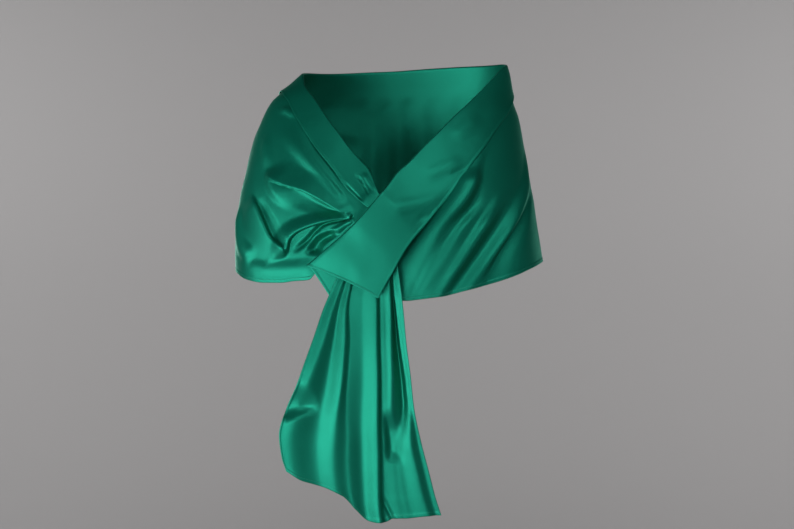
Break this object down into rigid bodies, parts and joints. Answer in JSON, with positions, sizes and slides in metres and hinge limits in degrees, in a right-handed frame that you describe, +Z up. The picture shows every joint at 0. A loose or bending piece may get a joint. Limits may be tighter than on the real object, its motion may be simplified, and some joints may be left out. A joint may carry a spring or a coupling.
{
  "type": "evening stole",
  "caption": "Satin evening stole worn round the shoulders, with a turned-down collar and one end pulled through a slot in the other to hang in front as a pleated tail.",
  "frame": {"origin": "midway between the wearer's shoulders, at the height where they carry the cloth", "axes": "+Z up, the front faces -Y, +X towards the wearer's left"},
  "size_m": [0.545, 0.2958, 0.7986],
  "materials": {
    "satin": "emerald green satin with a soft strong sheen"
  },
  "bodies": {
    "root": {"right_front": "satin", "back": "satin", "left_front": "satin", "collar_right": "satin", "collar_back": "satin", "collar_left": "satin", "tail": "satin"}
  },
  "joints": []
}
